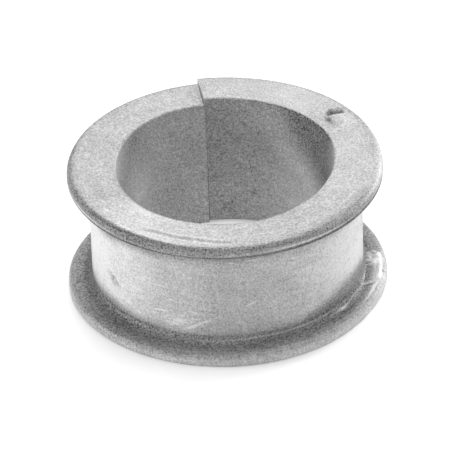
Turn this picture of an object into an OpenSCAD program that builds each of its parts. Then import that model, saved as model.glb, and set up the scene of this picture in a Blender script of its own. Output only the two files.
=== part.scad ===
// Split spool-shaped bushing for a steering column: one moulded ring with a plain bore,
// a straight hub and a flange at each end. The wall is slit once, and one end of the ring
// has sprung up out of line there. Sizes in mm, +Z along the bore, bottom face on Z = 0,
// bore axis on X = Y = 0. The slit is at the back, the photographed front faces -Y.

/* [Bore and hub] */

// diameter of the bore that runs on the shaft
bore_d = 25.5; // [24:0.1:27]
// diameter of the straight hub between the flanges
hub_d = 32; // [30.5:0.1:33]
// height from the bottom face to the top face
height = 16.3; // [13:0.1:24]

/* [Flanges] */

// diameter of the upper flange
top_d = 37; // [36.2:0.1:40]
// thickness of the upper flange
top_t = 1.65; // [1.55:0.05:2.2]
// rounding of the upper rim at the top face
top_edge_r = 0.35; // [0.2:0.05:0.6]
// rounding of the upper rim at its underside
under_edge_r = 0.65; // [0.3:0.05:0.7]
// diameter of the lower flange
low_d = 37.7; // [36.8:0.1:41]
// thickness of the lower flange
low_t = 1.7; // [1.55:0.05:2.2]
// rounding of both edges of the lower rim
low_edge_r = 0.65; // [0.2:0.05:0.7]
// fillet between hub and flange, above and below
root_r = 1.1; // [0.6:0.1:1.3]

/* [Slit] */

// direction of the slit, from +X towards +Y, in degrees
slit_at = 99; // [80:0.5:110]
// width of the slit at the middle of the wall
slit_w = 0.2; // [0.15:0.05:0.6]
// how far one end of the ring stands above the other
end_step = 0.95; // [0.2:0.05:1.2]
// angle of ring beside the slit over which that end climbs
end_span = 54; // [42:3:60]

/* [Damage] */

// direction of the nick in the top face, in degrees
nick_at = 36; // [20:0.5:42]
// distance of the nick from the bore axis
nick_reach = 16.6; // [15.8:0.1:16.8]
// radius of the tool that struck the nick
nick_r = 2; // [1.5:0.1:3]
// depth of the nick
nick_depth = 0.55; // [0.2:0.05:0.6]
// middle of the raised gate patch on the lower flange, in degrees
patch_at = -4.5; // [-15:0.5:5]
// angle the gate patch covers
patch_span = 23; // [12:1:30]
// height of the gate patch above the lower flange
patch_h = 0.35; // [0.2:0.05:0.5]
// strip of flange left free outside the gate patch
patch_edge = 0.75; // [0.6:0.05:1]

/* [Hidden] */

$fn = 96;

bore_r = bore_d / 2;
hub_r = hub_d / 2;
mid_r = (bore_r + hub_r) / 2;

// the ring is drawn this much thicker on the inside, and the bore is then cut true
bore_cover = 0.8;
// overlap where one volume has to enter another
overlap = 0.5;
// the climbing end bends at this many evenly spaced lines, a little more at each
bends = 3;
bend_step = end_span / bends;
// each stretch of it is this much slimmer than the one before, and its root sits inside that one
bend_inset = 0.03;
// degrees by which that root enters
bend_root = 1;
// half of the slit, in degrees
slit_half = atan(slit_w / 2 / mid_r);

// direction of a bend line
function bend_at(i) = slit_at - end_span + i * bend_step;
// sums over the bend lines up to one of them, for the slope the ring has beyond it
function sines(i) = i < 0 ? 0 : sin(bend_at(i)) + sines(i - 1);
function cosines(i) = i < 0 ? 0 : cos(bend_at(i)) + cosines(i - 1);
// climb at the slit for a slope of one at every bend line
unit_climb = mid_r * (cosines(bends - 1) * sin(slit_at) - sines(bends - 1) * cos(slit_at));
bend_slope = end_step / unit_climb;

// a flange in section: a plate from the inner wall out to a rim with a rounded foot and a rounded edge
module rim(radius, low, thick, foot, edge) {
    inner = bore_r - bore_cover;
    translate([inner, low])
        square([radius - max(foot, edge) - inner, thick]);
    translate([inner, low + foot])
        square([radius - inner, thick - foot - edge]);
    translate([inner, low + foot])
        square([radius - edge - inner, thick - foot]);
    translate([inner, low])
        square([radius - foot - inner, thick - edge]);
    translate([radius - foot, low + foot])
        circle(r = foot);
    translate([radius - edge, low + thick - edge])
        circle(r = edge);
}

// fillet in section, hollowed by a circle at the given height
module root(wall, low, centre_z) {
    difference() {
        translate([wall - overlap, low])
            square([root_r + overlap, root_r]);
        translate([wall + root_r, centre_z])
            circle(r = root_r);
    }
}

// the ring's section, all surfaces drawn in by the inset
module section(inset) {
    wall = hub_r - inset;
    low_top = low_t - inset;
    high_bottom = height - top_t + inset;
    inner = bore_r - bore_cover;
    translate([inner, inset])
        square([wall - inner, height - 2 * inset]);
    rim(low_d / 2 - inset, inset, low_t - 2 * inset, low_edge_r, low_edge_r);
    rim(top_d / 2 - inset, high_bottom, top_t - 2 * inset, under_edge_r, top_edge_r);
    root(wall, low_top, low_top + root_r);
    root(wall, high_bottom - root_r, high_bottom - root_r);
}

// the stretch of ring that lies true, from the slit round to the first bend line
module true_ring() {
    rotate([0, 0, slit_at + slit_half])
        rotate_extrude(angle = 360 - end_span - slit_half)
            section(0);
}

// one stretch of the climbing end, sloped by its own bend and those before it
module climbing(i) {
    ends = i == bends - 1 ? slit_half : 0;
    slope = [-bend_slope * sines(i), bend_slope * cosines(i), 1, 0];
    multmatrix([[1, 0, 0, 0], [0, 1, 0, 0], slope, [0, 0, 0, 1]])
        rotate([0, 0, bend_at(i) - bend_root])
            rotate_extrude(angle = bend_step + bend_root - ends)
                section(bend_inset * (i + 1));
}

// raised rest of the moulding gate on the upper side of the lower flange
module gate_patch() {
    rotate([0, 0, patch_at - patch_span / 2])
        rotate_extrude(angle = patch_span)
            translate([hub_r - overlap, low_t - overlap])
                square([low_d / 2 - patch_edge - hub_r + overlap, patch_h + overlap]);
}

module nick() {
    rotate([0, 0, nick_at])
        translate([nick_reach, 0, height - nick_depth + nick_r])
            sphere(r = nick_r);
}

module bushing() {
    color([0.72, 0.72, 0.71])
        difference() {
            union() {
                true_ring();
                for (i = [0:bends - 1])
                    climbing(i);
                gate_patch();
            }
            translate([0, 0, -height])
                cylinder(r = bore_r, h = 3 * height);
            nick();
        }
}

bushing();
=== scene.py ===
import math

import bpy
import numpy as np
from mathutils import Matrix, Vector

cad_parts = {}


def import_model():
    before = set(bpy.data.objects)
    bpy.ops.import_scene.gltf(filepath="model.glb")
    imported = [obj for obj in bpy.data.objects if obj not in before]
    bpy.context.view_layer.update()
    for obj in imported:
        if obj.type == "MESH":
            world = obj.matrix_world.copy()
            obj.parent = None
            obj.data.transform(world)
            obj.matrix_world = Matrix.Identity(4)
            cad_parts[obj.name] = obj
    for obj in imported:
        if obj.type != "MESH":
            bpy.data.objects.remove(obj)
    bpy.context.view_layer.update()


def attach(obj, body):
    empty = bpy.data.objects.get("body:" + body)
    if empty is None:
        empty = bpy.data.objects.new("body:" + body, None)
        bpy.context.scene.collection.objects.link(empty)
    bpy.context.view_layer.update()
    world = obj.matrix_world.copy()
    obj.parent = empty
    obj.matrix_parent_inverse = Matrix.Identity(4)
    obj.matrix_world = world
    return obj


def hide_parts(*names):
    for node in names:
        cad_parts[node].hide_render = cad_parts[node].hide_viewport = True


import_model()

MM = 0.001

# sizes of the ring in mm and degrees, as in the part's source
BORE_R = 12.75
HUB_R = 16.0
TOP_R = 18.5
LOW_R = 18.85
HEIGHT = 16.3
TOP_T = 1.65
LOW_T = 1.7
TOP_EDGE = 0.35
UNDER_EDGE = 0.65
LOW_EDGE = 0.65
ROOT_R = 1.1
SLIT_AT = 99.0
MID_R = (BORE_R + HUB_R) / 2
# heights of the upper flange's underside and of both ends of the straight hub
UNDER_Z = HEIGHT - TOP_T
HUB_FOOT = LOW_T + ROOT_R
HUB_HEAD = HEIGHT - TOP_T - ROOT_R

# the skin alone: a broken bore edge, and the slit as narrow as it looks
BORE_EDGE = 0.2
SLIT_W = 0.06

# points that the surfaces get round the section
COUNT = {"bottom": 6, "low_foot": 7, "low_side": 3, "low_edge": 9, "low_top": 9, "low_root": 24, "hub": 26,
         "top_root": 10, "under": 4, "top_under": 8, "top_side": 4, "top_edge": 8, "top": 38,
         "bore_head": 4, "bore": 20, "bore_foot": 3}
# steps round the ring in degrees, with finer ones beside the slit, at the gate and at the gouge, where
# directions run on from the slit past 360
STEP = 1.0
SLIT_STRETCH = 2.0
SLIT_STEP = 0.2
GATE_STRETCH = (338, 369)
GATE_STEP = 0.3
GOUGE_STRETCH = (388, 403)
GOUGE_STEP = 0.25
# smooth noise is the sum of this many waves
WAVE_COUNT = 14

# In every table below, the first row holds directions in degrees and the second the values there.
# What lies between is read off, also from the last direction on round the ring to the first.

# height by which the ring has sprung up on its right-hand side, in mm, and the share of it at the foot
RISE = ([0, 25, 45, 80, 98.95, 99.05], [0, 0.40, 0.48, 0.54, 0.60, 0])
RISE_FOOT = 0.4
# lean of that end at the slit in degrees, the angle it grows over, how late it does, and the height
# it turns about
END_LEAN = 1.7
END_SPAN = 54.0
END_POWER = 1.6
LEAN_Z = 4.0
# width of the upper rim's rounding in mm, and how far its height follows its width
RIM_ROUND = ([-180, -135, -105, -75, -45, 0, 45, 150, 180],
             [0.75, 0.70, 0.45, 0.45, 0.90, 0.85, 0.50, 0.45, 0.75])
RIM_TALL = 0.7
# wear of the lower rim in mm
LOW_WEAR = ([-100, -75, -50, -35, -25, -5], [0.05, 0.05, 0.25, 0.35, 0.30, 0.05])
# wear of the bore's mouth in mm, from this height up and out to this distance from the axis
MOUTH = ([-180, -130, -75, -45, -20, 25, 98.95, 99.05, 125, 165, 180],
         [-0.1, 0.3, 0.3, -0.1, -0.15, 0.3, 0.4, 0.5, 0.5, 0, -0.1])
MOUTH_FOOT = 12.0
MOUTH_R = 14.0
# waviness of the rims, of the other walls and of the flat faces, in mm
RIM_WAVE = 0.03
WALL_WAVE = 0.008
FACE_WAVE = 0.012
WALL_WAVES = {"seed": 21, "low": 0.15, "high": 0.7}
FACE_WAVES = {"seed": 5, "low": 0.3, "high": 1.4}

# A mark of 1 makes the plastic half as light again, and a negative mark makes it darker.

# cut of the gouge in the top face: its middle in mm, direction in degrees, half length, how far its
# ends curve back, how blunt they are, and half width
CUT_X = 13.12
CUT_Y = 9.95
CUT_TURN = 15.0
CUT_LONG = 1.25
CUT_CURVE = 0.25
CUT_BLUNT = 4
CUT_WIDE = 0.45
# lips of the cut: how far off they lie at both sides, half width, and how much of the cut the far one
# goes along, in half lengths from its middle
LIP_NEAR = -0.72
LIP_FAR = 0.68
LIP_WIDE = 0.13
LIP_STOP = 0.5
# pit and smear in front of it: middle and half width along X, then along Y
PIT = (12.32, 0.36, 8.4, 0.55)
SMEAR = (12.6, 0.4, 7.7, 0.9)
# scooped ground around those: middle, half widths, and soft share
SCOOP_X = 13.15
SCOOP_Y = 7.8
SCOOP_WIDE = 1.2
SCOOP_LONG = 1.75
SCOOP_SOFT = 0.5
# rim of the scoop: its place and half width in shares of the scoop, and where along X it begins
SCOOP_RIM = 1.05
SCOOP_RIM_WIDE = 0.12
SCOOP_RIM_X = 12.4
SCOOP_RIM_EASE = 0.8
# depth of each of these in mm, and its mark
GOUGE_DEPTH = {"cut": 0.45, "pit": 0.22, "scoop": 0.08, "lips": -0.05}
# the marks paint shade into the cut, the pit and the scoop, and highlights on the lips and the scoop's rim
GOUGE_MARK = {"lips": 0.7, "rim": 0.35, "cut": -1.6, "pit": -1.3, "smear": -0.7, "scoop": -0.2}

# witness line of the mould in the top face: distance from the axis, both ends and their easing in
# degrees, half width, depth and mark, and then the pale strips at its sides
WITNESS_R = ([-128, -124, -117, -100, -90, -86], [16.7, 16.62, 16.5, 16.65, 17.05, 17.2])
WITNESS_ENDS = (-128, -86, 6)
WITNESS_WIDE = 0.24
WITNESS_DEPTH = 0.04
WITNESS_MARK = -0.7
STRIP_OFF = 0.5
STRIP_WIDE = 0.16
STRIP_MARK = 0.55

# painted highlight on the top face's edge: both ends and their easing, distance from the axis, half width,
# mark
EDGE_HIGHLIGHT_ENDS = (-142, -98, 12)
EDGE_HIGHLIGHT_R = 17.6
EDGE_HIGHLIGHT_WIDE = 0.3
EDGE_HIGHLIGHT_MARK = 0.35

# worn corner at the slit: length, how far out it reaches and over what it eases, and depth
CORNER_LONG = 0.45
CORNER_R = 17.5
CORNER_EASE = 4.0
CORNER_DEPTH = 0.3

# rest of the gate: its near side lies in this direction at this distance from the axis and slants by
# so many degrees in a mm, then its far side and its outer side, each with its easing
GATE_NEAR = -17.3
GATE_NEAR_R = 16.42
GATE_SLANT = 3.3
GATE_NEAR_EASE = 0.8
GATE_FAR = 6.8
GATE_FAR_EASE = 0.9
GATE_OUT = 18.25
GATE_OUT_EASE = 0.3
# height of the pad, how much lower its flat half lies, and the lift at which it counts as raised
PAD_H = 0.36
FLAT_DROP = 0.05
PAD_LIFT = 0.1
# torn half: where it begins, and its lumps and folds
TORN_FROM = -4.2
TORN_EASE = 1.2
LUMP_H = 0.1
LUMP_WAVES = {"seed": 3, "low": 2.5, "high": 9}
FOLD_WAVES = {"seed": 8, "low": 3, "high": 8}
FOLD_WIDE = 0.25
# painted highlight on the broken edge inside the near side, and the stretch of it with its easing
BROKEN_IN = 0.25
BROKEN_WIDE = 0.4
BROKEN_ENDS = (16.3, 18.35, 0.2)
# dark spots: direction and half width in degrees, distance from the axis and half width in mm
INNER_SPOT = (-0.8, 1.1, 16.45, 0.2)
OUTER_SPOT = (-5.6, 1.0, 18.3, 0.15)
# shadows: direction of the one past the far side, and how many degrees before the near side the other
# lies, which ends short of the rim
FAR_SHADOW = 7.4
FAR_SHADOW_WIDE = 0.6
NEAR_SHADOW = 1.0
NEAR_SHADOW_WIDE = 0.8
NEAR_SHADOW_R = 17.9
# flat half: painted light outside this distance from the axis and painted shade inside the other, and the
# length over which both of them and the near shadow fade
PALE_R = 17.0
DARK_R = 17.1
GATE_FADE = 0.4
# the marks paint a highlight on the broken edge, light and shade on the flat half, and shadows
GATE_MARK = {"torn": 2.0, "folds": 1.6, "outside": 0.7, "inside": -0.5, "broken": 4.0, "shadow": -0.6,
             "spots": -1.3}

# painted highlight on the lower rim: distance from the axis, mark, and half width
RIM_GLINT_R = ([-45, -16, -8, -1.6, 3.4], [17.75, 17.8, 18.13, 17.95, 18.3])
RIM_GLINT_MARK = ([-46, -35, -25, -18, 0, 9], [0, 0.6, 1.4, 3.0, 1.2, 0])
RIM_GLINT_WIDE = 0.22

# lines of flash on the lower fillet: way up from its foot in mm, half width, and both ends with
# their easing
THIN_AT = ([-120, -108, -91, -77, -55, -29], [0.93, 0.9, 1.06, 1.2, 1.2, 1.15])
THIN_WIDE = 0.08
THIN_ENDS = (-125, -28, 50, 4)
THICK_AT = ([-45, -40, -36, -28, -21, -17], [0.69, 0.76, 0.67, 0.88, 0.83, 0.76])
THICK_WIDE = 0.055
THICK_ENDS = (-47, -16, 4)
SHORT_AT = ([-16, -10.4], [0.71, 0.96])
SHORT_WIDE = 0.08
SHORT_ENDS = (-16.6, -9.8, 1)
# bead on the thick one: direction and half width in degrees, and what it adds to the line's half width
BEAD_AT = -36.5
BEAD_LONG = 3.5
BEAD_WIDE = 0.11
# height of each line of flash in mm, and its mark, which paints the raised flash lighter as a highlight
FLASH_H = {"thin": 0.04, "thick": 0.085, "short": 0.07}
FLASH_MARK = {"thin": 1.5, "thick": 2.6, "bead": 4.4, "short": 3.0}

# painted highlight along the upper rim low down: way up from the rim's foot in mm, mark and half width,
# and the painted shade in a line below it
RIM_LINE_AT = ([-150, -120, -105, -90, -60, -30], [1.3, 0.95, 0.85, 0.95, 1.3, 1.7])
RIM_HIGHLIGHT = ([-165, -150, -105, -80, -60, -30], [0, 1.0, 1.6, 0.9, 1.8, 0.4])
RIM_LINE_WIDE = 0.14
RIM_SHADE = ([-165, -150, -75, -30, -15, 20], [0, 0.9, 0.7, 1.8, 2.0, 0])
SHADE_BELOW = 0.5
SHADE_WIDE = 0.25

# how light each surface is: painted shade in the fillets, under the upper flange and on the lower flange's
# top, darker rims, and painted light that makes the hub paler than the top face
TONE = {"bottom": 0.45, "low_foot": 0.72, "low_side": 0.74, "low_edge": 0.48, "low_top": 0.36,
        "low_root": 0.33, "hub": 0.76, "top_root": 0.33, "under": 0.25, "top_under": 0.24,
        "top_side": 0.43, "top_edge": 0.37, "top": 0.57, "bore": 0.55}
# factors on that round the ring, which paint highlights on the hub's sides and on the rims, and shade
# under the upper rim, at the hub's right-hand limb and on the lower fillet behind that limb
TURN = {
    "low_foot": ([-180, -135, -110, -60], [0.75, 0.75, 0.95, 1.1]),
    "low_side": ([-180, -135, -110, -60], [0.75, 0.75, 0.95, 1.1]),
    "low_edge": ([-180, -135, -90, -60, -25, -10, 0, 20], [0.9, 0.7, 0.95, 1.1, 1.1, 1.4, 1.3, 0.9]),
    "low_top": ([-180, -135, -110, -90, -75, -30, -15, 0, 10],
                [0.8, 0.8, 1.0, 1.0, 0.85, 0.95, 1.25, 1.25, 0.85]),
    "low_root": ([-180, -135, -115, -60, -35, -15, -5, 20], [0.75, 0.75, 0.95, 0.9, 0.65, 1.0, 1.0, 0.45]),
    "hub": ([-180, -165, -135, -120, -90, -60, -30, -10, 0, 60],
            [1.1, 1.25, 1.1, 0.85, 0.8, 0.95, 1.27, 1.15, 0.8, 0.7]),
    "top_under": ([-180, -150, -125, -105, -60, -15, 60], [0.35, 0.25, 0.35, 0.85, 0.9, 0.25, 0.8]),
    "top_side": ([-180, -150, -130, -90, -60, 0, 60], [1.5, 1.2, 0.65, 0.9, 1.3, 1.4, 1.0]),
    "top_edge": ([-180, -135, -90, -30, -10, 15, 35], [0.85, 0.55, 0.8, 1.0, 1.8, 1.5, 1.0]),
    "top": ([-180, -150, -135, -115, -60, -10, 35, 60, 90],
            [0.95, 0.95, 1.3, 1.1, 0.9, 1.05, 1.0, 1.1, 1.0]),
}
# lower rim's upper edge, painted lighter: factor where it begins, and how much that falls over this length
# in mm
EDGE_PALE = 1.45
EDGE_FALL = 0.5
EDGE_LONG = 0.6
# outer strip of the lower flange, painted lighter as less shaded: how much lighter it is, and its width in
# mm
OUTER_PALE = 0.25
OUTER_WIDE = 0.6
# painted light and shade: lightness of the lower fillet's upper half against its lower half, and where it
# changes, in mm
FILLET = ([-180, -130, -112, -60, -48], [0.75, 0.75, 1.05, 1.2, 1.0])
FILLET_FROM = 0.5
FILLET_EASE = 0.6
# darkening along the outer border of the top face, and the border's width in mm
BORDER = ([-180, -125, -75, -45, -15, 10, 30], [0.15, 0, 0.05, 0.3, 0.1, 0.15, 0])
BORDER_WIDE = 1.0
# painted shade on the hub, in the grooves and under the upper flange: how far it reaches up from the lower
# groove and down from the upper one, in mm, the length over which it fades, and how dark it is
HUB_SHADE_LOW = ([-180, -150, -120, -105, -90, -60, -45, -30, -15, -5],
             [0.5, 0.9, 0.1, -0.5, 0, 0, 1.2, 2.1, 2.0, 0.5])
HUB_SHADE_LOW_FADE = 1.0
HUB_SHADE_LOW_DARK = 0.66
HUB_SHADE_HIGH = ([-180, -150, -135, -105, -60, -30, 0, 60], [2.0, 1.8, 1.2, 0.5, 0.2, 1.2, 2.0, 0.8])
HUB_SHADE_HIGH_FADE = 0.5
HUB_SHADE_HIGH_DARK = 0.6
# painted light and shade on the bore's wall at its mouth and deep inside
BORE_LIGHT_TOP = ([0, 20, 50, 65, 98.95, 99.05, 130, 145, 170],
             [1.1, 0.4, 0.35, 0.75, 0.8, 1.05, 0.95, 0.6, 1.1])
BORE_LIGHT_DEEP = ([0, 35, 65, 98.95, 99.05, 130, 145, 160, 180],
              [1.2, 1.7, 0.95, 0.7, 0.9, 0.95, 1.3, 0.85, 1.1])
# depth at which the first begins to give way to the second, and the length over which it does, in mm
BORE_LIGHT_FROM = ([0, 30, 60, 99, 145], [6.0, 4.5, -1.0, -1.0, 1.5])
BORE_LIGHT_FADE = 6.5
# darkening of the bore's broken upper edge
BORE_LIP = ([-180, -135, -60, -40, 0, 20, 125, 180], [0.9, 0.45, 0.45, 0.9, 0.9, 0.5, 0.8, 0.9])
# times that the tones of neighbouring points are blended
BLENDS = 2

# scratches and smudges: surface, direction in degrees, height or distance from the axis in mm, half
# length and half width in mm, slope in degrees, and how much lighter or darker
STROKES = [
    ("hub", -119.2, 5.3, 1.5, 0.20, 7, 0.50),
    ("hub", -122.0, 4.7, 1.6, 0.12, 5, 0.35),
    ("hub", -105.0, 5.75, 1.0, 0.17, -14, 0.60),
    ("hub", -114.9, 6.95, 0.7, 0.12, 3, 0.45),
    ("hub", -100.0, 4.6, 1.2, 0.20, 18, 0.55),
    ("hub", -106.6, 3.6, 1.5, 0.30, 28, 0.50),
    ("hub", -112.0, 4.2, 2.6, 0.25, 8, 0.22),
    ("hub", -134.0, 6.2, 2.0, 0.10, 12, -0.30),
    ("hub", -131.0, 5.5, 1.8, 0.08, 9, -0.22),
    ("hub", -146.8, 6.4, 1.8, 0.85, -33, -0.50),
    ("hub", -111.0, 4.4, 3.6, 1.2, 6, 0.26),
    ("hub", -134.0, 4.8, 2.6, 1.6, 8, -0.16),
    ("hub", -116.5, 4.7, 0.8, 0.14, 10, 0.50),
    ("hub", -109.5, 5.1, 0.7, 0.12, -6, 0.45),
    ("hub", -103.0, 4.1, 0.9, 0.14, 14, 0.45),
    ("hub", -96.0, 5.2, 0.7, 0.12, 10, 0.35),
    ("hub", -113.0, 3.8, 1.2, 0.18, 12, 0.35),
    ("hub", -88.0, 12.65, 0.9, 0.14, -14, 0.70),
    ("hub", -79.0, 12.9, 1.6, 0.12, 4, 0.60),
    ("hub", -61.6, 11.6, 1.8, 0.09, -5, -0.25),
    ("hub", -80.8, 6.95, 0.9, 0.14, 27, 0.85),
    ("hub", -54.8, 9.85, 0.7, 0.10, -3, 0.30),
    ("top", -145.0, 16.9, 1.1, 0.16, 12, 0.40),
    ("top", -105.0, 15.0, 5.0, 0.10, 2, 0.25),
    ("top", -70.0, 16.2, 6.0, 0.12, -2, 0.25),
    ("top", -45.0, 15.2, 4.5, 0.10, 3, 0.25),
    ("top", -30.0, 16.9, 4.0, 0.14, 0, 0.30),
    ("top", 165.0, 16.0, 3.0, 0.8, 10, -0.12),
    ("top", -160.0, 15.6, 2.6, 0.6, -8, -0.14),
    ("bore", 77.0, 12.95, 1.9, 0.15, -25, -0.35),
    ("bore", 71.3, 12.2, 0.35, 0.28, 0, -0.50),
    ("bore", 76.0, 7.4, 1.3, 0.15, 100, -0.40),
    ("bore", 74.0, 7.0, 0.9, 0.7, 0, -0.25),
    ("bore", 74.6, 4.1, 0.8, 0.65, 0, -0.45),
    ("bore", 86.5, 2.6, 1.2, 0.5, 25, -0.30),
]
# a stroke fades out from its middle, which gets this many times its strength
STROKE_GAIN = 2

# how rough noise is where nothing else is said
NOISE_ROUGH = 0.55
# noises of the plastic, from coarse to fine, in the metres of the object
CLOUD = {"scale": 300.0, "detail": 4.0}
MOTTLE = {"scale": 1500.0, "detail": 3.0}
GRAIN = {"scale": 5000.0, "detail": 1.0}
# noises drawn out along the surface, with their scales round the ring and round the section in mm
STREAK = {"scale": 1.0, "detail": 4.0, "rough": 0.65}
STREAK_STRETCH = (0.10, 4.0, 1.0)
SLANTED = {"scale": 1.0, "detail": 2.0}
SLANTED_STRETCH = (0.25, 6.0, 1.0)
SLANTED_TURN = 0.7
GAPS = {"scale": 1.0, "detail": 3.0}
GAPS_STRETCH = (1.4, 8.0, 1.0)
# between these values the streaks turn into scratches, and the strokes fade in between their gaps
STREAK_SCRATCH = (0.66, 0.74)
SLANTED_SCRATCH = (0.70, 0.75)
STROKE_GAPS = (0.36, 0.6)
# share of each in the tone, and the least of the tone that they leave before the grain is added
CLOUD_SHARE = 0.45
MOTTLE_SHARE = 0.40
STREAK_SHARE = 0.45
SCRATCH_SHARE = 0.14
MARK_SHARE = 0.5
GRAIN_SHARE = 0.95
DARKEST = 0.1
# roughness and what the mottle adds to it, and the bump with its depth in m
ROUGH = 0.32
MOTTLE_ROUGH = 0.24
GRAIN_BUMP = 0.5
MOTTLE_BUMP = 0.6
SCRATCH_BUMP = 0.5
BUMP_STRENGTH = 0.35
BUMP_DEPTH = 0.00006

# table: side in m, grey with a faint cloud, roughness, and glow that only the camera sees
TABLE_SIDE = 4.0
TABLE_GREY = 0.90
TABLE_CLOUD = {"scale": 60.0, "detail": 2.0}
TABLE_CLOUD_SHARE = 0.02
TABLE_ROUGH = 0.9
TABLE_GLOW = 0.35
WHITE = (1, 1, 1, 1)
# lamps: name, direction and height seen from the object in degrees, width in m, power in W
LAMPS = [
    ("overhead", 90, 86, 0.25, 1.4),
    ("back", 90, 42, 0.30, 0.8),
    ("back_right", 42, 20, 0.30, 1.9),
    ("right", 0, 30, 0.30, 0.5),
    ("left", -172, 8, 0.30, 2.0),
    ("front", -90, 40, 0.30, 0.7),
]
LAMP_REACH = 0.6
WORLD_LIGHT = 0.05

# camera matched to the photograph: distance in mm, pixels per mm there, degrees, and the
# place of the origin in a picture of 450 x 450
CAM_D = 700.0
CAM_SCALE = 8.4564
CAM_ELEV = 33.282
CAM_ROLL = 1.978
ORIGIN_U = 228.48
ORIGIN_V = 279.59
PICTURE = 450.0
# width of the sensor in mm, and the nearest and farthest that the camera sees in m
SENSOR = 36.0
SEES_FROM = 0.05
SEES_TO = 20.0


def smooth(x):
    """Eases from nothing at 0 to all at 1."""
    x = np.clip(x, 0.0, 1.0)
    return x * x * (3 - 2 * x)


def window(value, low, high, soft, soft_end=None):
    """All between two limits, easing to nothing over a soft width just inside each of them."""
    return smooth((value - low) / soft) * smooth((high - value) / (soft_end or soft))


def ridge(value, middle, half):
    """A rounded peak of height one."""
    return np.exp(-((value - middle) / half) ** 2)


def spot(a, b, place):
    """A rounded peak over two measures. Its place is the middle and half width in one, then in the other."""
    return ridge(a, place[0], place[1]) * ridge(b, place[2], place[3])


def mixed(forms, amounts):
    """Sum of named forms, each times its amount."""
    return sum(amount * forms[name] for name, amount in amounts.items())


def waves(a, b, seed, low, high):
    """Smooth noise over two arrays of lengths in mm, about -1 to 1, from waves between two rates."""
    rng = np.random.RandomState(seed)
    total = np.zeros(np.broadcast(a, b).shape)
    for _ in range(WAVE_COUNT):
        k = rng.uniform(low, high)
        turn = rng.uniform(0, 2 * math.pi)
        phase = rng.uniform(0, 2 * math.pi)
        total += np.sin(k * (a * math.cos(turn) + b * math.sin(turn)) + phase)
    return total / math.sqrt(WAVE_COUNT)


def line(a, b, n):
    """Points from one place towards another, without the last."""
    t = np.arange(n)[:, None] / n
    return np.array(a) + (np.array(b) - np.array(a)) * t


def arc(r, z, radius, start, stop, n):
    """Points along part of a circle, from one angle towards another, without the last."""
    a = np.radians(np.linspace(start, stop, n, endpoint=False))
    return np.c_[r + radius * np.cos(a), z + radius * np.sin(a)]


def section():
    """The ring's section once round, as points (r, z) and the name of the surface each lies on."""
    inner = BORE_R + BORE_EDGE
    low_in = LOW_R - LOW_EDGE
    root_out = HUB_R + ROOT_R
    n = COUNT
    parts = [
        ("bottom", line((inner, 0), (low_in, 0), n["bottom"])),
        ("low_foot", arc(low_in, LOW_EDGE, LOW_EDGE, -90, 0, n["low_foot"])),
        ("low_side", line((LOW_R, LOW_EDGE), (LOW_R, LOW_T - LOW_EDGE), n["low_side"])),
        ("low_edge", arc(low_in, LOW_T - LOW_EDGE, LOW_EDGE, 0, 90, n["low_edge"])),
        ("low_top", line((low_in, LOW_T), (root_out, LOW_T), n["low_top"])),
        ("low_root", arc(root_out, HUB_FOOT, ROOT_R, 270, 180, n["low_root"])),
        ("hub", line((HUB_R, HUB_FOOT), (HUB_R, HUB_HEAD), n["hub"])),
        ("top_root", arc(root_out, HUB_HEAD, ROOT_R, 180, 90, n["top_root"])),
        ("under", line((root_out, UNDER_Z), (TOP_R - UNDER_EDGE, UNDER_Z), n["under"])),
        ("top_under", arc(TOP_R - UNDER_EDGE, UNDER_Z + UNDER_EDGE, UNDER_EDGE, -90, 0, n["top_under"])),
        ("top_side", line((TOP_R, UNDER_Z + UNDER_EDGE), (TOP_R, HEIGHT - TOP_EDGE), n["top_side"])),
        ("top_edge", arc(TOP_R - TOP_EDGE, HEIGHT - TOP_EDGE, TOP_EDGE, 0, 90, n["top_edge"])),
        ("top", line((TOP_R - TOP_EDGE, HEIGHT), (inner, HEIGHT), n["top"])),
        ("bore", arc(inner, HEIGHT - BORE_EDGE, BORE_EDGE, 90, 180, n["bore_head"])),
        ("bore", line((BORE_R, HEIGHT - BORE_EDGE), (BORE_R, BORE_EDGE), n["bore"])),
        ("bore", arc(inner, BORE_EDGE, BORE_EDGE, 180, 270, n["bore_foot"])),
    ]
    points = np.vstack([p for _, p in parts])
    names = np.concatenate([[name] * len(p) for name, p in parts])
    return points, names


def lengths(points):
    """Length round the section up to each of its points, in mm, and once round at the end."""
    step = np.linalg.norm(np.diff(np.vstack([points, points[:1]]), axis=0), axis=1)
    return np.append(0.0, np.cumsum(step))


def place_of(surface, az, reach):
    """Place of a mark in the lengths of the UV map: round the ring, and round the section."""
    points, names = section()
    along = lengths(points)[:-1]
    own = names == surface
    across = points[own, 0] if surface == "top" else points[own, 1]
    order = np.argsort(across)
    v = np.interp(reach, across[order], along[own][order])
    turned = az if az > SLIT_AT else az + 360
    return math.radians(turned) * HUB_R, float(v)


def directions():
    """Directions round the ring from one side of the slit to the other, closer together at the damage."""
    half = math.degrees(math.atan(SLIT_W / 2 / MID_R))
    start = SLIT_AT + half
    stop = SLIT_AT + 360 - half
    stretches = [
        (start, start + SLIT_STRETCH, SLIT_STEP),
        (start + SLIT_STRETCH, GATE_STRETCH[0], STEP),
        (*GATE_STRETCH, GATE_STEP),
        (GATE_STRETCH[1], GOUGE_STRETCH[0], STEP),
        (*GOUGE_STRETCH, GOUGE_STEP),
        (GOUGE_STRETCH[1], stop, STEP),
    ]
    out = []
    for a, b, step in stretches:
        out.append(np.linspace(a, b, int(round((b - a) / step)), endpoint=False))
    return np.append(np.concatenate(out), stop)


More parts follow.
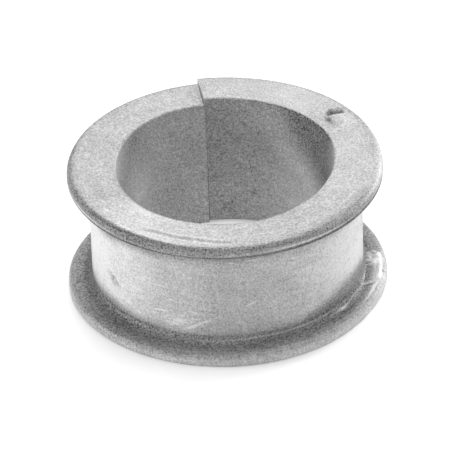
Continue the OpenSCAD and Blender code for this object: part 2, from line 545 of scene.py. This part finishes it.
class Skin:
    """Grid of points over the ring: rows follow the direction, columns go once round the section."""

    def __init__(self):
        self.points, self.names = section()
        self.along = lengths(self.points)
        self.az = directions()[:, None]
        self.signed = (self.az + 180) % 360 - 180
        self.r = np.ones_like(self.az) * self.points[:, 0]
        self.z = np.ones_like(self.az) * self.points[:, 1]
        self.mark = np.zeros_like(self.r)
        self.tone = np.ones_like(self.az) * np.array([TONE[name] for name in self.names])

    def on(self, *surfaces):
        """Which columns lie on any of these surfaces."""
        return np.isin(self.names, surfaces)

    def past(self, surface):
        """Length round the section from the start of a surface, in mm."""
        return self.along[:-1] - self.along[:-1][self.on(surface)][0]

    def plan(self):
        """X and Y of every point, in mm."""
        turn = np.radians(self.az)
        return self.r * np.cos(turn), self.r * np.sin(turn)

    def read(self, table):
        """Value of a table in each direction, going on round the ring from its last entry to its first."""
        return np.interp(self.signed, *table, period=360)

    def shade(self, where, factor):
        """Makes some of the columns lighter or darker by a factor."""
        self.tone = np.where(where, self.tone * factor, self.tone)


def round_rim(skin):
    """Rounds the upper rim more than the source does, by a table round the ring."""
    wide = skin.read(RIM_ROUND) / TOP_EDGE
    tall = 1 + RIM_TALL * (wide - 1)
    inner = BORE_R + BORE_EDGE
    foot = UNDER_Z + UNDER_EDGE
    pull = (TOP_R - TOP_EDGE * wide - inner) / (TOP_R - TOP_EDGE - inner)
    drop = (HEIGHT - TOP_EDGE * tall - foot) / (HEIGHT - TOP_EDGE - foot)
    edge = skin.on("top_edge")
    skin.r = np.where(edge, TOP_R + (skin.r - TOP_R) * wide, skin.r)
    skin.z = np.where(edge, HEIGHT + (skin.z - HEIGHT) * tall, skin.z)
    skin.r = np.where(skin.on("top"), inner + (skin.r - inner) * pull, skin.r)
    skin.z = np.where(skin.on("top_side"), foot + (skin.z - foot) * drop, skin.z)


def wear_low_rim(skin):
    """Draws the lower rim in where it is worn."""
    flat = HUB_R + ROOT_R
    share = np.clip((skin.r - flat) / (LOW_R - flat), 0, 1)
    low = skin.on("bottom", "low_foot", "low_side", "low_edge", "low_top")
    skin.r = skin.r - np.where(low, skin.read(LOW_WEAR) * share, 0)


def wear_mouth(skin):
    """Wears the bore's mouth a little out of round."""
    inside = smooth((skin.z - MOUTH_FOOT) / (HEIGHT - MOUTH_FOOT)) * skin.on("bore")
    above = smooth((MOUTH_R - skin.r) / (MOUTH_R - BORE_R)) * skin.on("top")
    skin.r = skin.r + skin.read(MOUTH) * (inside + above)


def gouge(skin):
    """A gouge struck in the top face: a curved cut with painted shade and painted highlights on its lips,
    and a pit with painted shade and a smear in front of it.
    """
    x, y = skin.plan()
    turn = math.radians(CUT_TURN)
    dx = x - CUT_X
    dy = y - CUT_Y
    along = (dx * math.cos(turn) + dy * math.sin(turn)) / CUT_LONG
    across = dy * math.cos(turn) - dx * math.sin(turn) + CUT_CURVE * along ** 2
    ends = np.clip(1 - along ** CUT_BLUNT, 0, 1)
    far_lip = ridge(across, LIP_FAR, LIP_WIDE) * smooth(LIP_STOP - along)
    reach = np.hypot((x - SCOOP_X) / SCOOP_WIDE, (y - SCOOP_Y) / SCOOP_LONG)
    forms = {
        "cut": ends * ridge(across, 0, CUT_WIDE),
        "lips": ends * (ridge(across, LIP_NEAR, LIP_WIDE) + far_lip),
        "pit": spot(x, y, PIT),
        "smear": spot(x, y, SMEAR),
        "scoop": smooth((1 - reach) / SCOOP_SOFT),
        "rim": ridge(reach, SCOOP_RIM, SCOOP_RIM_WIDE) * smooth((x - SCOOP_RIM_X) / SCOOP_RIM_EASE),
    }
    face = skin.on("top", "top_edge")
    skin.z = skin.z - face * mixed(forms, GOUGE_DEPTH)
    skin.mark = skin.mark + face * mixed(forms, GOUGE_MARK)


def witness_line(skin):
    """Shallow groove left by the mould in the top face, front left, with a pale strip at each side."""
    middle = skin.read(WITNESS_R)
    there = window(skin.signed, *WITNESS_ENDS) * skin.on("top")
    groove = there * ridge(skin.r, middle, WITNESS_WIDE)
    strips = there * ridge(np.abs(skin.r - middle), STRIP_OFF, STRIP_WIDE)
    skin.z = skin.z - WITNESS_DEPTH * groove
    skin.mark = skin.mark + WITNESS_MARK * groove + STRIP_MARK * strips


def edge_highlight(skin):
    """Painted highlight along the edge of the top face at the front left."""
    there = window(skin.signed, *EDGE_HIGHLIGHT_ENDS) * skin.on("top", "top_edge")
    skin.mark = skin.mark + EDGE_HIGHLIGHT_MARK * there * ridge(skin.r, EDGE_HIGHLIGHT_R, EDGE_HIGHLIGHT_WIDE)


def slit_corner(skin):
    """Worn corner of the ring's lower end at the slit."""
    beyond = skin.r * np.radians(skin.az - SLIT_AT)
    tone_and_shade = np.clip(1 - beyond / CORNER_LONG, 0, 1) ** 2 * smooth((CORNER_R - skin.r) / CORNER_EASE)
    skin.z = skin.z - CORNER_DEPTH * tone_and_shade * skin.on("top")


def raise_gate(skin, near, torn):
    """Raises the rest of the gate above the flange, and returns where it stands up."""
    x, y = skin.plan()
    outline = window(skin.signed, near, GATE_FAR, GATE_NEAR_EASE, GATE_FAR_EASE)
    outline = outline * smooth((GATE_OUT - skin.r) / GATE_OUT_EASE)
    pad = LOW_T + PAD_H + LUMP_H * waves(x, y, **LUMP_WAVES) * torn - FLAT_DROP * (1 - torn)
    lift = outline * np.maximum(pad - skin.z, 0) * skin.on("low_top", "low_root")
    skin.z = skin.z + lift
    return smooth(lift / PAD_LIFT)


def gate_rest(skin):
    """Raised rest of the moulding gate on the lower flange, torn at its far half, with a painted highlight
    on its broken edge and painted light, shade and shadows about it.
    """
    x, y = skin.plan()
    az = skin.signed
    r = skin.r
    near = GATE_NEAR + GATE_SLANT * (r - GATE_NEAR_R)
    torn = smooth((az - TORN_FROM) / TORN_EASE)
    raised = raise_gate(skin, near, torn)
    flat = raised * (1 - torn)
    low = skin.on("low_top", "low_root")
    rim = skin.on("low_top", "low_root", "low_edge")
    near_shadow = ridge(az, near - NEAR_SHADOW, NEAR_SHADOW_WIDE) * smooth((NEAR_SHADOW_R - r) / GATE_FADE)
    forms = {
        "torn": raised * torn,
        "folds": raised * torn * ridge(waves(x, y, **FOLD_WAVES), 0, FOLD_WIDE),
        "outside": flat * smooth((r - PALE_R) / GATE_FADE),
        "inside": flat * smooth((DARK_R - r) / GATE_FADE),
        "broken": low * ridge(az, near + BROKEN_IN, BROKEN_WIDE) * window(r, *BROKEN_ENDS),
        "shadow": low * (ridge(az, FAR_SHADOW, FAR_SHADOW_WIDE) + near_shadow),
        "spots": rim * (spot(az, r, INNER_SPOT) + spot(az, r, OUTER_SPOT)),
    }
    skin.mark = skin.mark + mixed(forms, GATE_MARK)


def rim_glint(skin):
    """Painted highlight on the lower rim beside the gate."""
    there = ridge(skin.r, skin.read(RIM_GLINT_R), RIM_GLINT_WIDE) * skin.on("low_top", "low_edge")
    skin.mark = skin.mark + skin.read(RIM_GLINT_MARK) * there


def flash_lines(skin):
    """Two lines of flash along the foot of the hub, one of them thick beside the gate, and a short one, all
    raised and painted lighter as highlights.
    """
    az = skin.signed
    root = skin.on("low_root")
    past = skin.past("low_root")
    bead = ridge(az, BEAD_AT, BEAD_LONG)
    thin = ridge(past, skin.read(THIN_AT), THIN_WIDE) * window(az, *THIN_ENDS) * root
    thick = ridge(past, skin.read(THICK_AT), THICK_WIDE + BEAD_WIDE * bead) * window(az, *THICK_ENDS) * root
    short = ridge(past, skin.read(SHORT_AT), SHORT_WIDE) * window(az, *SHORT_ENDS) * root
    forms = {"thin": thin, "thick": thick, "bead": bead * thick, "short": short}
    height = mixed(forms, FLASH_H)
    skin.r = skin.r + height
    skin.z = skin.z + height
    skin.mark = skin.mark + mixed(forms, FLASH_MARK)


def rim_highlight_and_shade(skin):
    """Painted highlight in a line low on the upper rim, climbing towards the right, with painted shade in a
    line below it.
    """
    middle = skin.read(RIM_LINE_AT)
    past = skin.past("top_under")
    pale = skin.read(RIM_HIGHLIGHT) * ridge(past, middle, RIM_LINE_WIDE)
    dark = skin.read(RIM_SHADE) * ridge(past, middle - SHADE_BELOW, SHADE_WIDE)
    skin.mark = skin.mark + skin.on("top_under", "top_side") * (pale - dark)


def waviness(skin):
    """Slow waviness of the moulding, most on the rims."""
    x, y = skin.plan()
    girth = MID_R * np.radians(skin.az)
    rims = skin.on("low_foot", "low_side", "low_edge", "top_under", "top_side", "top_edge")
    skin.r = skin.r + np.where(rims, RIM_WAVE, WALL_WAVE) * waves(girth, skin.z, **WALL_WAVES)
    faces = skin.on("top", "low_top")
    skin.z = skin.z + np.where(faces, FACE_WAVE, 0.0) * waves(x, y, **FACE_WAVES)


def spring(skin):
    """Lifts the right-hand side of the ring towards the slit, and leans its end."""
    share = np.clip((skin.az - (SLIT_AT + 360 - END_SPAN)) / END_SPAN, 0, 1) ** END_POWER
    lean = np.radians(END_LEAN) * share
    lift = skin.read(RISE) * (RISE_FOOT + (1 - RISE_FOOT) * skin.z / HEIGHT)
    dr = skin.r - MID_R
    dz = skin.z - LEAN_Z
    skin.r = MID_R + dr * np.cos(lean) + dz * np.sin(lean)
    skin.z = LEAN_Z - dr * np.sin(lean) + dz * np.cos(lean) + lift


def turn_tones(skin):
    """Paints light and shade into each surface by its own table round the ring."""
    for surface, table in TURN.items():
        skin.shade(skin.on(surface), skin.read(table))


def rim_tones(skin):
    """Paints light and shade across the widths of the lower rim, the lower flange and the lower fillet, and
    darkens the border of the top face.
    """
    fall = np.clip(skin.past("low_edge") / EDGE_LONG, 0, 1)
    skin.shade(skin.on("low_edge"), EDGE_PALE - EDGE_FALL * fall)
    outer = smooth(1 - skin.past("low_top") / OUTER_WIDE)
    skin.shade(skin.on("low_top"), 1 + OUTER_PALE * outer)
    upper = smooth((skin.past("low_root") - FILLET_FROM) / FILLET_EASE)
    skin.shade(skin.on("low_root"), 1 + (skin.read(FILLET) - 1) * upper)
    border = smooth(1 - skin.past("top") / BORDER_WIDE)
    skin.shade(skin.on("top"), 1 - skin.read(BORDER) * border)


def hub_painted_shade(skin):
    """Paints shade on the hub towards both grooves. At the end of its reach the painted shade is half as
    dark.
    """
    up = skin.points[:, 1] - HUB_FOOT
    down = HUB_HEAD - skin.points[:, 1]
    low = HUB_SHADE_LOW_DARK * smooth((skin.read(HUB_SHADE_LOW) - up) / HUB_SHADE_LOW_FADE + 0.5)
    high = HUB_SHADE_HIGH_DARK * smooth((skin.read(HUB_SHADE_HIGH) - down) / HUB_SHADE_HIGH_FADE + 0.5)
    skin.shade(skin.on("hub"), 1 - np.maximum(low, high))


def bore_painted_light(skin):
    """Paints light and shade into the bore from its mouth down, and darkens its broken upper edge."""
    z = skin.points[:, 1]
    deep = smooth((HEIGHT - z - skin.read(BORE_LIGHT_FROM)) / BORE_LIGHT_FADE)
    skin.shade(skin.on("bore"), skin.read(BORE_LIGHT_TOP) * (1 - deep) + skin.read(BORE_LIGHT_DEEP) * deep)
    skin.shade(skin.on("bore") & (z > HEIGHT - BORE_EDGE), skin.read(BORE_LIP))


def blend_tones(skin):
    """Blends the tones round the section, half from each point and a quarter from each neighbour."""
    for _ in range(BLENDS):
        beside = np.roll(skin.tone, 1, axis=1) + np.roll(skin.tone, -1, axis=1)
        skin.tone = (2 * skin.tone + beside) / 4


def grid(n, m):
    """Row and column of every face between n rows of m points, where the last column joins the first."""
    return np.meshgrid(np.arange(n - 1), np.arange(m), indexing="ij")


def ring_faces(n, m):
    """Faces of the ring with four corners each, and then one face at each end."""
    i, j = grid(n, m)
    k = (j + 1) % m
    sides = np.stack([i * m + j, (i + 1) * m + j, (i + 1) * m + k, i * m + k], axis=-1).reshape(-1, 4)
    first = np.arange(m)
    last = (n - 1) * m + first
    return sides.tolist() + [first.tolist(), last[::-1].tolist()]


def map_surface(mesh, skin):
    """UV map of lengths round the ring and round the section in mm, for marks that follow the surface."""
    i, j = grid(*skin.r.shape)
    round_ring = skin.az[:, 0] * math.radians(1) * HUB_R
    along = skin.along
    u = np.stack([round_ring[i], round_ring[i + 1], round_ring[i + 1], round_ring[i]], axis=-1)
    v = np.stack([along[j], along[j], along[j + 1], along[j + 1]], axis=-1)
    sides = np.stack([u, v], axis=-1).reshape(-1, 2)
    ends = np.vstack([skin.points, skin.points[::-1]])
    layer = mesh.uv_layers.new(name="surface")
    layer.data.foreach_set("uv", np.vstack([sides, ends]).astype(np.float32).ravel())


def smooth_sides(mesh, n, m):
    """Smooth shading all over but on the two end faces, which keep sharp edges."""
    flags = np.ones(len(mesh.polygons), bool)
    flags[-2:] = False
    mesh.polygons.foreach_set("use_smooth", flags)
    ends = np.zeros(n * m, int)
    ends[:m] = 1
    ends[-m:] = 2
    for edge in mesh.edges:
        p, q = edge.vertices
        edge.use_edge_sharp = bool(ends[p] and ends[p] == ends[q])


def build_ring():
    """The whole bushing as one closed surface, with its two ends at the slit capped."""
    skin = Skin()
    for change in (round_rim, wear_low_rim, wear_mouth, gouge, witness_line, edge_highlight, slit_corner,
                   gate_rest, rim_glint, flash_lines, rim_highlight_and_shade, waviness, spring,
                   turn_tones, rim_tones, hub_painted_shade, bore_painted_light, blend_tones):
        change(skin)
    n, m = skin.r.shape
    x, y = skin.plan()
    points = np.stack([x, y, skin.z], axis=-1).reshape(-1, 3) * MM
    mesh = bpy.data.meshes.new("bushing_skin")
    mesh.from_pydata(points.tolist(), [], ring_faces(n, m))
    map_surface(mesh, skin)
    for label, values in (("mark", skin.mark), ("tone", skin.tone)):
        attribute = mesh.attributes.new(label, "FLOAT", "POINT")
        attribute.data.foreach_set("value", values.astype(np.float32).ravel())
    smooth_sides(mesh, n, m)
    mesh.update()
    piece = bpy.data.objects.new("bushing_skin", mesh)
    bpy.context.scene.collection.objects.link(piece)
    return piece


class Nodes:
    """A new material, with short forms for building its nodes."""

    def __init__(self, name):
        self.material = bpy.data.materials.new(name)
        self.material.use_nodes = True
        self.tree = self.material.node_tree
        self.shader = self.tree.nodes["Principled BSDF"].inputs

    def feed(self, socket, value):
        """Gives a socket what another node puts out, or a fixed value."""
        if isinstance(value, bpy.types.NodeSocket):
            self.tree.links.new(value, socket)
        else:
            socket.default_value = value

    def add(self, kind, settings, inputs):
        """A new node with its settings and inputs."""
        node = self.tree.nodes.new(kind)
        for key, value in settings.items():
            setattr(node, key, value)
        for key, value in inputs.items():
            self.feed(node.inputs[key], value)
        return node

    def source(self, kind, output, **settings):
        """What a node without inputs puts out."""
        return self.add(kind, settings, {}).outputs[output]

    def calc(self, operation, *values, clamp=False):
        """One step of arithmetic."""
        node = self.add("ShaderNodeMath", {"operation": operation, "use_clamp": clamp}, {})
        for socket, value in zip(node.inputs, values):
            self.feed(socket, value)
        return node.outputs[0]

    def noise(self, vector, scale, detail, rough=NOISE_ROUGH):
        """Cloudy noise between 0 and 1."""
        inputs = {"Vector": vector, "Scale": scale, "Detail": detail, "Roughness": rough}
        return self.add("ShaderNodeTexNoise", {}, inputs).outputs["Fac"]

    def mapped(self, vector, scale, turn=0.0):
        """Places stretched and turned, for noise that is drawn out."""
        inputs = {"Vector": vector, "Rotation": (0, 0, turn), "Scale": scale}
        return self.add("ShaderNodeMapping", {}, inputs).outputs["Vector"]

    def layers(self, base, parts):
        """Adds noises, each by its amount to both sides of its middle value."""
        total = base - sum(amount for _, amount in parts) / 2
        for value, amount in parts:
            total = self.plus(total, value, amount)
        return total

    def plus(self, total, value, amount):
        """Adds a value times an amount."""
        return self.calc("ADD", self.calc("MULTIPLY", value, amount), total)

    def stroke(self, surface, name, az, reach, half_long, half_wide, slope, strength):
        """One long oval mark laid on the surface."""
        inputs = {"Vector": surface, "Location": (*place_of(name, az, reach), 0),
                  "Rotation": (0, 0, math.radians(slope)), "Scale": (half_long, half_wide, 1)}
        place = self.add("ShaderNodeMapping", {"vector_type": "TEXTURE"}, inputs).outputs["Vector"]
        oval = self.add("ShaderNodeTexGradient", {"gradient_type": "SPHERICAL"}, {"Vector": place})
        return self.calc("MULTIPLY", oval.outputs["Fac"], STROKE_GAIN * strength)

    def strokes(self, surface, marks):
        """All such marks, added up."""
        total = 0.0
        for mark in marks:
            total = self.calc("ADD", total, self.stroke(surface, *mark))
        return total

    def between(self, value, low, high):
        """Rises from 0 to 1 between two values."""
        inputs = {"Value": value, "From Min": low, "From Max": high}
        return self.add("ShaderNodeMapRange", {"clamp": True}, inputs).outputs["Result"]

    def grey(self, tone):
        """Makes the base colour a grey of this tone."""
        colour = self.add("ShaderNodeCombineColor", {}, {"Red": tone, "Green": tone, "Blue": tone})
        self.feed(self.shader["Base Color"], colour.outputs["Color"])


def plastic():
    """Satin grey plastic: cloudy and grained, with fine scratches, darker or lighter where it is marked and
    by its tone, which also carry painted light and shade.
    """
    t = Nodes("grey_plastic")
    place = t.source("ShaderNodeTexCoord", "Object")
    surface = t.source("ShaderNodeUVMap", "UV", uv_map="surface")
    mark = t.source("ShaderNodeAttribute", "Fac", attribute_name="mark")
    tone_and_shade = t.source("ShaderNodeAttribute", "Fac", attribute_name="tone")

    cloud = t.noise(place, **CLOUD)
    mottle = t.noise(place, **MOTTLE)
    grain = t.noise(place, **GRAIN)
    streak = t.noise(t.mapped(surface, STREAK_STRETCH), **STREAK)
    slanted = t.noise(t.mapped(surface, SLANTED_STRETCH, SLANTED_TURN), **SLANTED)
    scratch = t.calc("MAXIMUM", t.between(streak, *STREAK_SCRATCH), t.between(slanted, *SLANTED_SCRATCH))
    gaps = t.between(t.noise(t.mapped(surface, GAPS_STRETCH), **GAPS), *STROKE_GAPS)
    broken = t.calc("MULTIPLY", t.strokes(surface, STROKES), gaps)

    shade = t.layers(1.0, ((cloud, CLOUD_SHARE), (mottle, MOTTLE_SHARE), (streak, STREAK_SHARE)))
    shade = t.plus(shade, scratch, SCRATCH_SHARE)
    shade = t.calc("ADD", shade, broken)
    shade = t.plus(shade, mark, MARK_SHARE)
    tone = t.calc("MULTIPLY", tone_and_shade, t.calc("MAXIMUM", shade, DARKEST))
    t.grey(t.calc("ADD", tone, t.layers(0.0, ((grain, GRAIN_SHARE),)), clamp=True))

    t.feed(t.shader["Roughness"], t.calc("MULTIPLY_ADD", mottle, MOTTLE_ROUGH, ROUGH))
    height = t.plus(t.calc("MULTIPLY", grain, GRAIN_BUMP), mottle, MOTTLE_BUMP)
    height = t.plus(height, scratch, SCRATCH_BUMP)
    bump = {"Strength": BUMP_STRENGTH, "Distance": BUMP_DEPTH, "Height": height}
    t.feed(t.shader["Normal"], t.add("ShaderNodeBump", {}, bump).outputs["Normal"])
    return t.material


def table_white():
    """Matt white, which the camera alone sees glow a little."""
    t = Nodes("table_white")
    cloud = t.noise(t.source("ShaderNodeTexCoord", "Object"), **TABLE_CLOUD)
    t.grey(t.calc("MULTIPLY_ADD", cloud, TABLE_CLOUD_SHARE, TABLE_GREY))
    t.feed(t.shader["Roughness"], TABLE_ROUGH)
    t.feed(t.shader["Emission Color"], WHITE)
    seen = t.source("ShaderNodeLightPath", "Is Camera Ray")
    t.feed(t.shader["Emission Strength"], t.calc("MULTIPLY", seen, TABLE_GLOW))
    return t.material


def table():
    """White table under the part."""
    bpy.ops.mesh.primitive_plane_add(size=TABLE_SIDE, location=(0, 0, 0))
    floor = bpy.context.object
    floor.name = "table"
    floor.data.materials.append(table_white())


def lamps():
    """Soft round lamps about the part, all aimed at its middle."""
    centre = Vector((0, 0, HEIGHT / 2 * MM))
    for name, az, height, wide, power in LAMPS:
        a = math.radians(az)
        b = math.radians(height)
        way = Vector((math.cos(a) * math.cos(b), math.sin(a) * math.cos(b), math.sin(b)))
        data = bpy.data.lights.new(name, "AREA")
        data.shape = "DISK"
        data.size = wide
        data.energy = power
        lamp = bpy.data.objects.new(name, data)
        lamp.location = centre + way * LAMP_REACH
        lamp.rotation_euler = way.to_track_quat("Z", "Y").to_euler()
        bpy.context.scene.collection.objects.link(lamp)


def world():
    """Faint even light from all around."""
    around = bpy.data.worlds.new("studio")
    around.use_nodes = True
    back = around.node_tree.nodes["Background"]
    back.inputs["Color"].default_value = WHITE
    back.inputs["Strength"].default_value = WORLD_LIGHT
    bpy.context.scene.world = around


def camera():
    """Places the camera where the photograph was taken from, aimed so that no lens shift is needed."""
    elev = math.radians(CAM_ELEV)
    roll = math.radians(CAM_ROLL)
    focal = CAM_SCALE * CAM_D
    right = Vector((1, 0, 0))
    up = Vector((0, math.sin(elev), math.cos(elev)))
    ahead = Vector((0, math.cos(elev), -math.sin(elev)))
    image_up = right * math.sin(roll) + up * math.cos(roll)
    image_right = right * math.cos(roll) - up * math.sin(roll)
    du = PICTURE / 2 - ORIGIN_U
    dv = ORIGIN_V - PICTURE / 2
    aim = (ahead + image_right * (du / focal) + image_up * (dv / focal)).normalized()
    side = aim.cross(image_up).normalized()
    top = side.cross(aim)
    data = bpy.data.cameras.new("camera")
    data.sensor_width = SENSOR
    data.lens = SENSOR * focal / PICTURE
    data.clip_start = SEES_FROM
    data.clip_end = SEES_TO
    shot = bpy.data.objects.new("camera", data)
    turn = Matrix((side, top, -aim)).transposed().to_4x4()
    shot.matrix_world = Matrix.Translation(-ahead * CAM_D * MM) @ turn
    bpy.context.scene.collection.objects.link(shot)
    bpy.context.scene.camera = shot


bpy.context.scene.view_settings.view_transform = "Standard"
ring = build_ring()
ring.data.materials.append(plastic())
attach(ring, "root")
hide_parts("bushing")
table()
lamps()
world()
camera()
